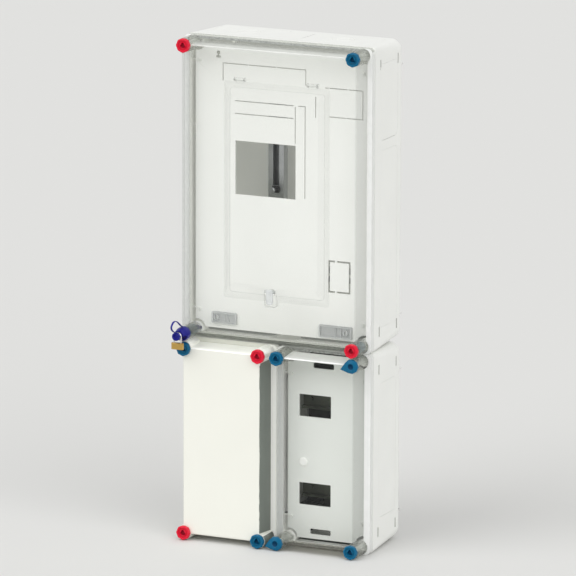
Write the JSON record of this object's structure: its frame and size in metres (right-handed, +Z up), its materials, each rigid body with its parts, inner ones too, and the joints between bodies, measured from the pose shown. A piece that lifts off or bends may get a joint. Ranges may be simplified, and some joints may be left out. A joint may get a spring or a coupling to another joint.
{
  "type": "electric meter cabinet",
  "caption": "Insulated electric meter cabinet: a clear-lidded meter box with a window flap above narrow boxes with opaque and clear lids, quarter-turn corner locks and a padlock.",
  "frame": {"origin": "middle of the four outer wall fixing holes, on the plane of the wall", "axes": "+X to the viewer's right, +Y back into the wall, +Z up along the cabinet's height"},
  "size_m": [0.3594, 0.2322, 0.8996],
  "materials": {
    "grey_shell": "moulded light grey plastic, fine texture",
    "seal": "soft foam rubber",
    "joining_plastic": "moulded grey plastic",
    "white_plate": "white plastic sheet, low sheen",
    "grey_plate": "light grey plastic sheet, low sheen",
    "clear_clip": "clear moulded plastic",
    "zinc_steel": "zinc plated",
    "dark_plastic": "moulded",
    "clear_cover": "clear glossy moulded plastic",
    "white_cover": "opaque off-white, smooth",
    "blue_sleeve": "translucent blue",
    "red_lock": "moulded, satin",
    "blue_lock": "moulded, satin",
    "navy_lock": "moulded, satin",
    "brass": "brushed",
    "chrome_steel": "bright polished"
  },
  "bodies": {
    "boxes": {"upper_base": "grey_shell", "lower_left_base": "grey_shell", "lower_right_base": "grey_shell", "upper_seal": "seal", "lower_left_seal": "seal", "lower_right_seal": "seal", "side_plate_upper_left": "grey_shell", "side_plate_upper_right": "grey_shell", "side_plate_lower_left": "grey_shell", "side_plate_lower_right": "grey_shell", "entry_plate_top": "grey_shell", "entry_plate_bottom_left": "grey_shell", "entry_plate_bottom_right": "grey_shell", "joining_frame_middle": "joining_plastic", "joining_frame_left": "joining_plastic", "joining_frame_right": "joining_plastic", "meter_plate": "white_plate", "meter_plate_screws": "zinc_steel", "plate_clip_left": "clear_clip", "plate_clip_right": "clear_clip", "cross_bars": "zinc_steel", "cross_bar_screws": "zinc_steel", "meter_rail": "zinc_steel", "meter_rail_screws": "zinc_steel", "meter_hook": "zinc_steel", "meter_hook_nut": "dark_plastic", "device_plate": "grey_plate", "device_plate_screws": "zinc_steel", "device_plug": "white_plate", "device_rail_top": "zinc_steel", "device_rail_bottom": "zinc_steel", "device_rail_screws": "zinc_steel", "mounting_board": "zinc_steel", "mounting_board_screws": "zinc_steel"},
    "upper_lid": {"upper_cover": "clear_cover", "flap_hinge_pins": "zinc_steel", "lock_sleeves": "blue_sleeve"},
    "lower_left_lid": {"lower_left_cover": "white_cover"},
    "lower_right_lid": {"lower_right_cover": "clear_cover"},
    "flap": {"window_flap": "clear_cover"},
    "latch": {"flap_latch": "clear_clip"},
    "lock_upper_top_left": {"lock_upper_top_left": "red_lock"},
    "lock_upper_top_right": {"lock_upper_top_right": "blue_lock"},
    "lock_upper_bottom_left": {"lock_upper_bottom_left": "navy_lock", "sealing_strap": "navy_lock"},
    "lock_upper_bottom_right": {"lock_upper_bottom_right": "red_lock"},
    "lock_lower_left_top_left": {"lock_lower_left_top_left": "blue_lock"},
    "lock_lower_left_top_right": {"lock_lower_left_top_right": "red_lock"},
    "lock_lower_left_bottom_left": {"lock_lower_left_bottom_left": "red_lock"},
    "lock_lower_left_bottom_right": {"lock_lower_left_bottom_right": "blue_lock"},
    "lock_lower_right_top_left": {"lock_lower_right_top_left": "blue_lock"},
    "lock_lower_right_top_right": {"lock_lower_right_top_right": "blue_lock"},
    "lock_lower_right_bottom_left": {"lock_lower_right_bottom_left": "blue_lock"},
    "lock_lower_right_bottom_right": {"lock_lower_right_bottom_right": "blue_lock"},
    "shackle": {"padlock_shackle": "chrome_steel"},
    "padlock": {"padlock_body": "brass"}
  },
  "joints": [
    {"name": "upper_lid_lift_off", "type": "slide", "parent": "boxes", "child": "upper_lid", "axis": [0, -1, 0], "range_m": [0, 0.12]},
    {"name": "lower_left_lid_lift_off", "type": "slide", "parent": "boxes", "child": "lower_left_lid", "axis": [0, -1, 0], "range_m": [0, 0.015]},
    {"name": "lower_right_lid_lift_off", "type": "slide", "parent": "boxes", "child": "lower_right_lid", "axis": [0, -1, 0], "range_m": [0, 0.12]},
    {"name": "flap_hinge", "type": "hinge", "parent": "upper_lid", "child": "flap", "pos_m": [0, -0.1838, 0.3848], "axis": [-1, 0, 0], "range_deg": [0, 110]},
    {"name": "latch_turn", "type": "hinge", "parent": "flap", "child": "latch", "pos_m": [0.009, -0.18, 0.0125], "axis": [0, -1, 0], "range_deg": [0, 90]},
    {"name": "lock_upper_top_left_turn", "type": "hinge", "parent": "upper_lid", "child": "lock_upper_top_left", "pos_m": [-0.162, -0.18, 0.4363], "axis": [0, -1, 0], "range_deg": [0, 90]},
    {"name": "lock_upper_top_right_turn", "type": "hinge", "parent": "upper_lid", "child": "lock_upper_top_right", "pos_m": [0.162, -0.18, 0.4363], "axis": [0, -1, 0], "range_deg": [0, 90]},
    {"name": "lock_upper_bottom_left_turn", "type": "hinge", "parent": "upper_lid", "child": "lock_upper_bottom_left", "pos_m": [-0.162, -0.18, -0.0763], "axis": [0, -1, 0], "range_deg": [0, 90]},
    {"name": "lock_upper_bottom_right_turn", "type": "hinge", "parent": "upper_lid", "child": "lock_upper_bottom_right", "pos_m": [0.162, -0.18, -0.0763], "axis": [0, -1, 0], "range_deg": [0, 90]},
    {"name": "lock_lower_left_top_left_turn", "type": "hinge", "parent": "lower_left_lid", "child": "lock_lower_left_top_left", "pos_m": [-0.162, -0.18, -0.1037], "axis": [0, -1, 0], "range_deg": [0, 90]},
    {"name": "lock_lower_left_top_right_turn", "type": "hinge", "parent": "lower_left_lid", "child": "lock_lower_left_top_right", "pos_m": [-0.018, -0.18, -0.1037], "axis": [0, -1, 0], "range_deg": [0, 90]},
    {"name": "lock_lower_left_bottom_left_turn", "type": "hinge", "parent": "lower_left_lid", "child": "lock_lower_left_bottom_left", "pos_m": [-0.162, -0.18, -0.4363], "axis": [0, -1, 0], "range_deg": [0, 90]},
    {"name": "lock_lower_left_bottom_right_turn", "type": "hinge", "parent": "lower_left_lid", "child": "lock_lower_left_bottom_right", "pos_m": [-0.018, -0.18, -0.4363], "axis": [0, -1, 0], "range_deg": [0, 90]},
    {"name": "lock_lower_right_top_left_turn", "type": "hinge", "parent": "lower_right_lid", "child": "lock_lower_right_top_left", "pos_m": [0.018, -0.18, -0.1037], "axis": [0, -1, 0], "range_deg": [0, 90]},
    {"name": "lock_lower_right_top_right_turn", "type": "hinge", "parent": "lower_right_lid", "child": "lock_lower_right_top_right", "pos_m": [0.162, -0.18, -0.1037], "axis": [0, -1, 0], "range_deg": [0, 90]},
    {"name": "lock_lower_right_bottom_left_turn", "type": "hinge", "parent": "lower_right_lid", "child": "lock_lower_right_bottom_left", "pos_m": [0.018, -0.18, -0.4363], "axis": [0, -1, 0], "range_deg": [0, 90]},
    {"name": "lock_lower_right_bottom_right_turn", "type": "hinge", "parent": "lower_right_lid", "child": "lock_lower_right_bottom_right", "pos_m": [0.162, -0.18, -0.4363], "axis": [0, -1, 0], "range_deg": [0, 90]},
    {"name": "shackle_swing", "type": "hinge", "parent": "lock_upper_bottom_left", "child": "shackle", "pos_m": [-0.162, -0.2067, -0.0763], "axis": [0, -1, 0], "range_deg": [-70, 70]},
    {"name": "padlock_pull", "type": "slide", "parent": "shackle", "child": "padlock", "axis": [0, 0, -1], "range_m": [0, 0.006]}
  ]
}
